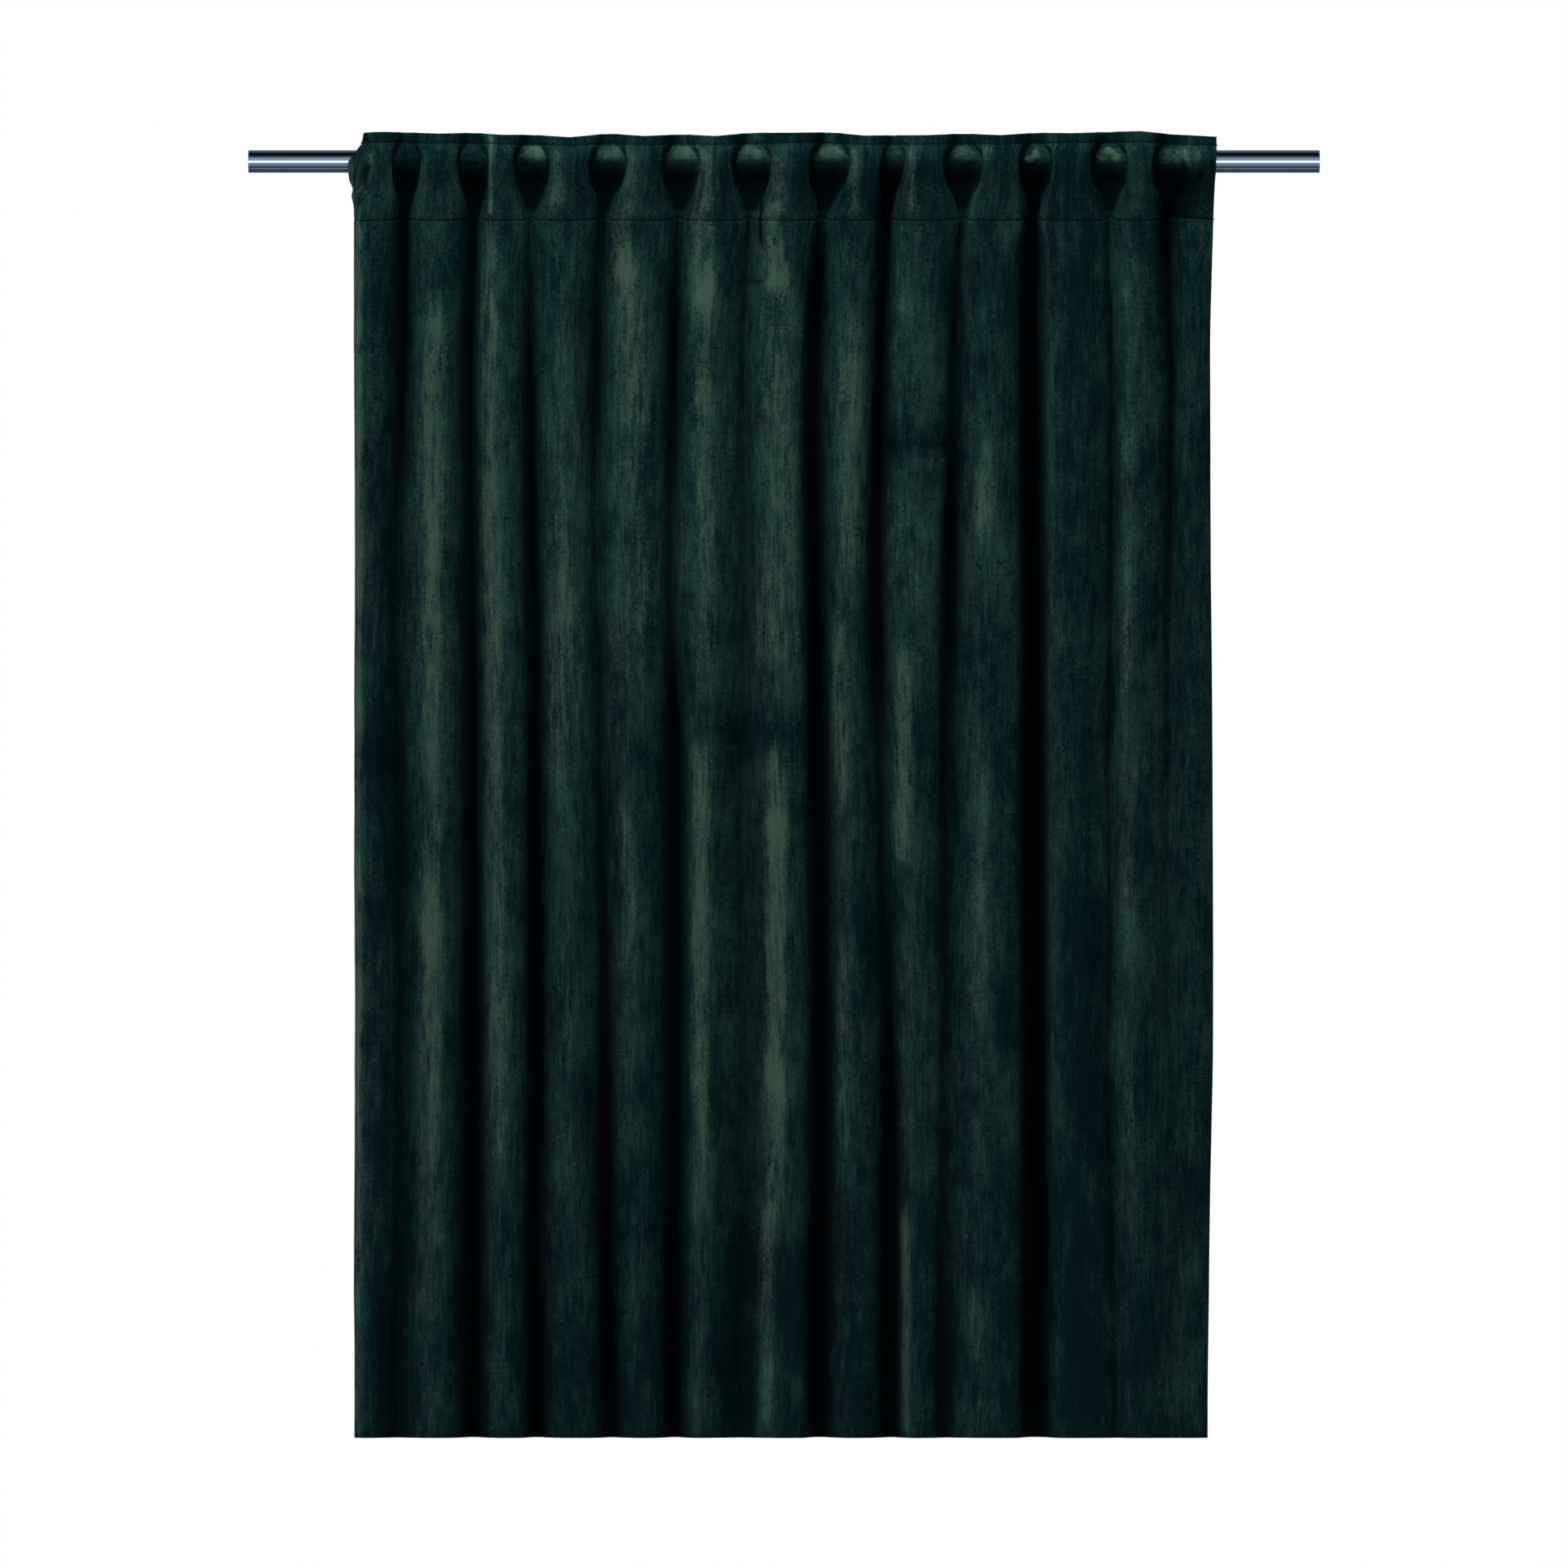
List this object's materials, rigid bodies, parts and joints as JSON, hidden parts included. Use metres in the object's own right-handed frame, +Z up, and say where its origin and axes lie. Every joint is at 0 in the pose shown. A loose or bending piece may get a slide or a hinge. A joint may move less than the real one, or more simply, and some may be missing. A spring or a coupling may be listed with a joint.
{
  "type": "curtain on a rod",
  "caption": "Velvet curtain panel gathered by hidden back tabs in soft hourglass pleats and deep falling folds, hung on a plain round metal rod.",
  "frame": {"origin": "middle of the rod, on its axis", "axes": "+X along the rod to the viewer's right, -Y out of the front of the curtain, +Z up"},
  "size_m": [1.32, 0.0627, 1.608],
  "materials": {
    "rod_metal": "polished",
    "velvet": "dark green cut-pile velvet",
    "tab_cloth": "plain woven"
  },
  "bodies": {
    "root": {"rod": "rod_metal", "curtain_panel": "velvet", "tab_01": "tab_cloth", "tab_02": "tab_cloth", "tab_03": "tab_cloth", "tab_04": "tab_cloth", "tab_05": "tab_cloth", "tab_06": "tab_cloth", "tab_07": "tab_cloth", "tab_08": "tab_cloth", "tab_09": "tab_cloth", "tab_10": "tab_cloth", "tab_11": "tab_cloth", "tab_12": "tab_cloth", "tab_13": "tab_cloth"}
  },
  "joints": []
}
